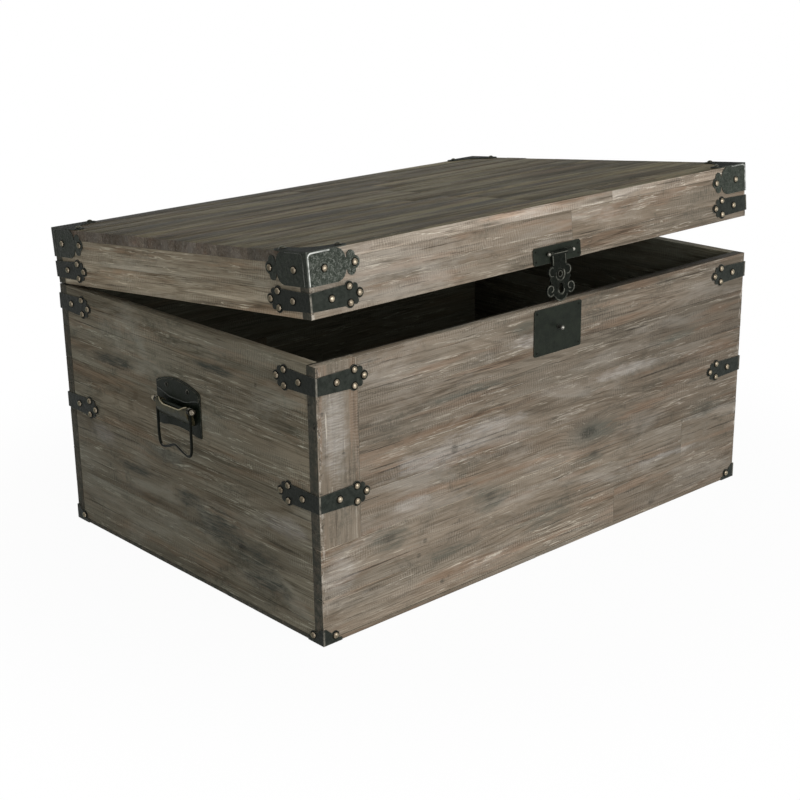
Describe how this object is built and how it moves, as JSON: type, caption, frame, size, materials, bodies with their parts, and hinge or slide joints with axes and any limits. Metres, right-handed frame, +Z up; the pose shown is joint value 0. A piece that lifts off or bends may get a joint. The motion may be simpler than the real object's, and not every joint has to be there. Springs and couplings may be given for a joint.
{
  "type": "storage trunk",
  "caption": "Box-shaped wooden storage trunk with a hinged lid, iron corner straps and caps, a drop-over hasp and a bail handle at each end.",
  "frame": {"origin": "on the floor under the middle of the trunk, in the underside of its bottom board", "axes": "+Z up, front with the hasp towards -Y, +X along the length to the right of someone who faces the front"},
  "size_m": [0.8278, 0.5706, 0.4761],
  "materials": {
    "old_boards": "matt reclaimed boards with saw marks",
    "black_iron": "hammered, waxed black",
    "pewter_black": "cast, dark with rubbed edges",
    "nail_heads": "rubbed bright",
    "worn_steel": "rubbed"
  },
  "bodies": {
    "base": {"base_front": "old_boards", "base_back": "old_boards", "base_left": "old_boards", "base_right": "old_boards", "base_bottom": "old_boards", "strap_base_upper_front_left": "black_iron", "strap_base_upper_front_right": "black_iron", "strap_base_upper_back_right": "black_iron", "strap_base_upper_back_left": "black_iron", "strap_base_mid_front_left": "black_iron", "strap_base_mid_front_right": "black_iron", "strap_base_mid_back_right": "black_iron", "strap_base_mid_back_left": "black_iron", "cap_base_front_left": "black_iron", "cap_base_front_right": "black_iron", "cap_base_back_right": "black_iron", "cap_base_back_left": "black_iron", "base_nails": "nail_heads", "lock_plate": "black_iron", "lock_tacks": "nail_heads", "lock_stud": "worn_steel", "handle_left_plate": "black_iron", "handle_right_plate": "black_iron", "handle_left_pin": "worn_steel", "handle_right_pin": "worn_steel", "handle_screws": "worn_steel", "hinge_left_base_leaf": "black_iron", "hinge_right_base_leaf": "black_iron", "hinge_left_pin": "black_iron", "hinge_right_pin": "black_iron", "hinge_base_nails": "nail_heads"},
    "lid": {"lid_front": "old_boards", "lid_back": "old_boards", "lid_left": "old_boards", "lid_right": "old_boards", "lid_top": "old_boards", "strap_lid_front_left": "black_iron", "strap_lid_front_right": "black_iron", "strap_lid_back_right": "black_iron", "strap_lid_back_left": "black_iron", "cap_lid_front_left": "black_iron", "cap_lid_front_right": "black_iron", "cap_lid_back_right": "black_iron", "cap_lid_back_left": "black_iron", "lid_nails": "nail_heads", "hasp_plate": "pewter_black", "hasp_tacks": "nail_heads", "hasp_pin": "pewter_black", "hinge_left_lid_leaf": "black_iron", "hinge_right_lid_leaf": "black_iron", "hinge_lid_nails": "nail_heads"},
    "hasp": {"hasp": "pewter_black"},
    "bail_left": {"handle_left_bail": "black_iron"},
    "bail_right": {"handle_right_bail": "black_iron"}
  },
  "joints": [
    {"name": "lid_hinge", "type": "hinge", "parent": "base", "child": "lid", "pos_m": [0, 0.2791, 0.34525], "axis": [-1, 0, 0], "range_deg": [-5.5, 89.5]},
    {"name": "hasp_hinge", "type": "hinge", "parent": "lid", "child": "hasp", "pos_m": [0, -0.27595, 0.411], "axis": [-1, 0, 0], "range_deg": [0, 170]},
    {"name": "bail_left_swing", "type": "hinge", "parent": "base", "child": "bail_left", "pos_m": [-0.4095, 0, 0.238], "axis": [0, 1, 0], "range_deg": [-5, 95]},
    {"name": "bail_right_swing", "type": "hinge", "parent": "base", "child": "bail_right", "pos_m": [0.4095, 0, 0.238], "axis": [0, -1, 0], "range_deg": [-5, 95]}
  ]
}
